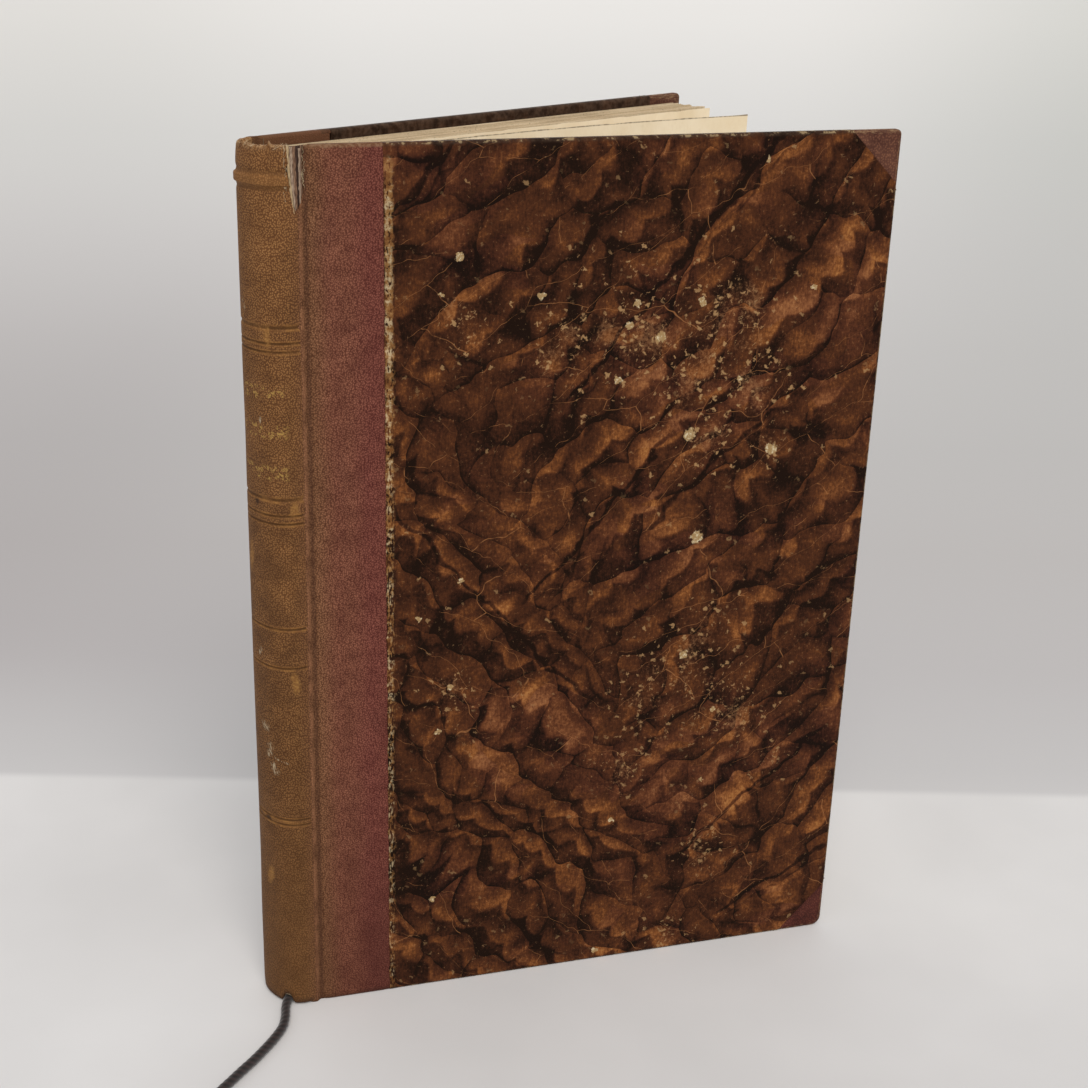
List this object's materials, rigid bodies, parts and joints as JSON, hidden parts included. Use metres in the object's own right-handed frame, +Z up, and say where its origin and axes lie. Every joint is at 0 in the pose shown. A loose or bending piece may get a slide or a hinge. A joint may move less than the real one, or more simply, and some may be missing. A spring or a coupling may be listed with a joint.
{
  "type": "antique half-bound book",
  "caption": "Half-bound antique book standing on its tail with the front cover ajar, hinged covers, fanned leaves and a bookmark cord; for reading, shelving or display.",
  "frame": {"origin": "centre of the footprint of the book, without its cord, on the surface it stands on", "axes": "+Z up along the spine, +X from the spine to the fore edge along the leaves, -Y towards the side that the front cover opens to"},
  "size_m": [0.2024, 0.081, 0.21],
  "materials": {
    "leaves": "aged cream, dusty at the head",
    "spine_cloth": "fine grained cloth faded to tan",
    "side_cloth": "fine grained claret cloth, faded",
    "marbled_paper": "burnished brown marbled paper, rubbed",
    "pasteboard": "raw",
    "endpaper": "aged cream",
    "stiff_paper": "raw",
    "lining_paper": "raw, glued",
    "tape": "woven linen",
    "cord": "dark twisted cord"
  },
  "bodies": {
    "book_block": {"text_block": "leaves", "spine_cover": "spine_cloth", "spine_inlay": "stiff_paper", "spine_lining": "lining_paper", "tail_sewing_tape": "tape", "middle_sewing_tape": "tape", "head_sewing_tape": "tape", "front_flyleaf": "endpaper", "front_free_endpaper": "endpaper", "back_free_endpaper": "endpaper", "bookmark_cord": "cord", "bookmark_knot": "cord"},
    "front_cover": {"front_board": "pasteboard", "front_cloth_side": "side_cloth", "front_marbled_paper": "marbled_paper", "front_head_corner": "side_cloth", "front_tail_corner": "side_cloth", "front_pastedown": "endpaper"},
    "back_cover": {"back_board": "pasteboard", "back_cloth_side": "side_cloth", "back_marbled_paper": "marbled_paper", "back_head_corner": "side_cloth", "back_tail_corner": "side_cloth", "back_pastedown": "endpaper"}
  },
  "joints": [
    {"name": "front_cover_hinge", "type": "hinge", "parent": "book_block", "child": "front_cover", "pos_m": [-0.06395, 0.02291, 0.105], "axis": [0, 0, -1], "range_deg": [-27.6, 120], "deforming": ["front_free_endpaper", "front_flyleaf"]},
    {"name": "back_cover_hinge", "type": "hinge", "parent": "book_block", "child": "back_cover", "pos_m": [-0.06395, 0.04031, 0.105], "axis": [0, 0, 1], "range_deg": [0, 147.6]}
  ]
}
